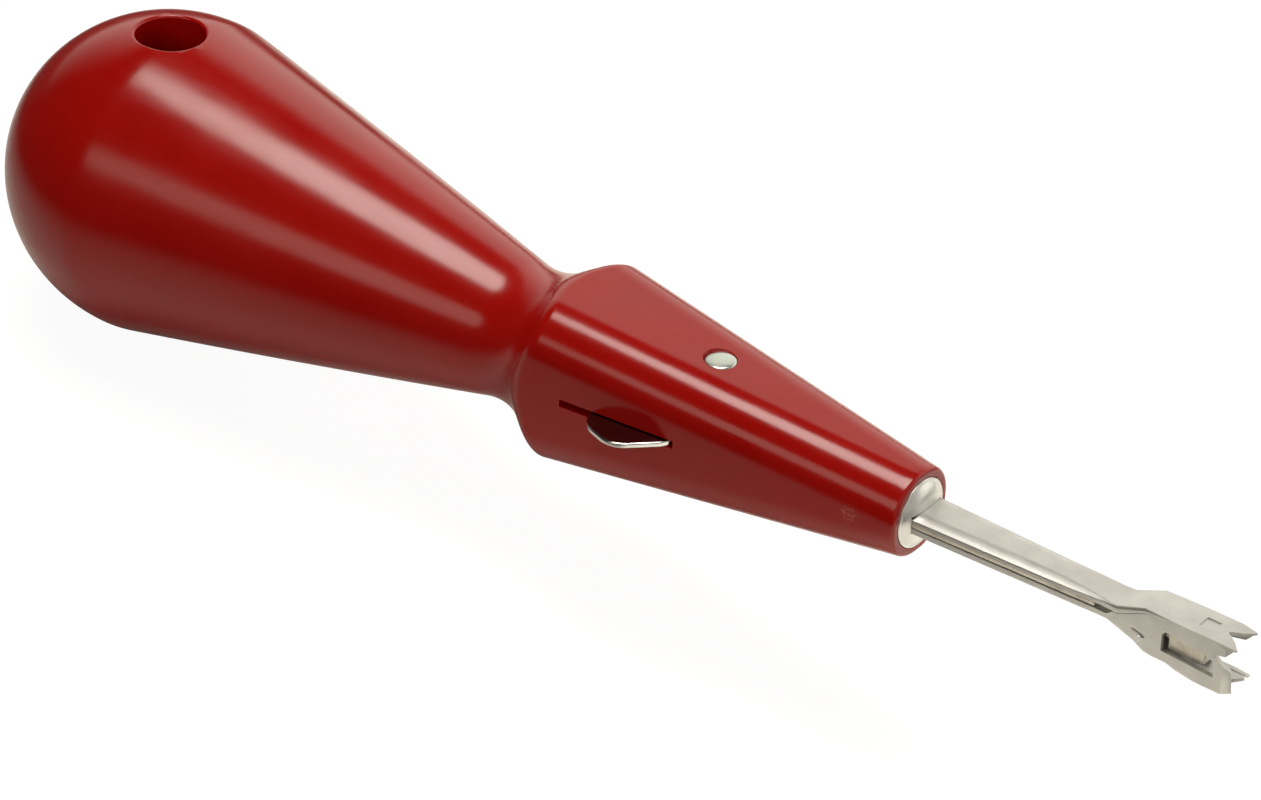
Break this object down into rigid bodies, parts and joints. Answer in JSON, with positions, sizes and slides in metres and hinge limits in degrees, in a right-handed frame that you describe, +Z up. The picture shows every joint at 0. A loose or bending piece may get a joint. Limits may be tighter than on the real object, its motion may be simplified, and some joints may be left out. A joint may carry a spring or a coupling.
{
  "type": "seam ripper",
  "caption": "Pear-handled seam ripper with a hanging hole, a finger lever on a cross pin, a sliding ejector strip and a flat shank ending in a pronged box head.",
  "frame": {"origin": "centre of the hanging hole, on the tool's axis", "axes": "+X along the tool from the butt to the prongs; +Z up along the hanging hole and the cross pin; the finger lever stands out on the -Y side"},
  "size_m": [0.1593, 0.0366, 0.0358],
  "materials": {
    "red_plastic": "polished dark red moulded plastic",
    "nickel": "nickel plated, slightly satin",
    "pin_steel": "fine turned face",
    "lever_steel": "sheared and tumbled strip",
    "spring_steel": "drawn wire"
  },
  "bodies": {
    "handle_body": {"handle": "red_plastic", "collar": "nickel", "pivot_pin": "pin_steel", "upper_leaf": "nickel", "lower_leaf": "nickel", "return_spring": "spring_steel"},
    "lever": {"thumb_lever": "lever_steel", "link_pin": "lever_steel"},
    "ejector": {"ejector_strip": "lever_steel", "ejector_head": "lever_steel", "spring_washer": "lever_steel"}
  },
  "joints": [
    {"name": "lever_turn", "type": "hinge", "parent": "handle_body", "child": "lever", "pos_m": [0.0767, 0, 0], "axis": [0, 0, -1], "range_deg": [0, 22]},
    {"name": "ejector_slide", "type": "slide", "parent": "handle_body", "child": "ejector", "axis": [1, 0, 0], "range_m": [0, 0.00105], "stiffness_N_per_m": 430, "springref_m": -0.003, "deforming": ["return_spring"]}
  ],
  "couplings": [
    {"joint": "lever_turn", "follows": "ejector_slide", "rad_per_m": 365.88}
  ]
}
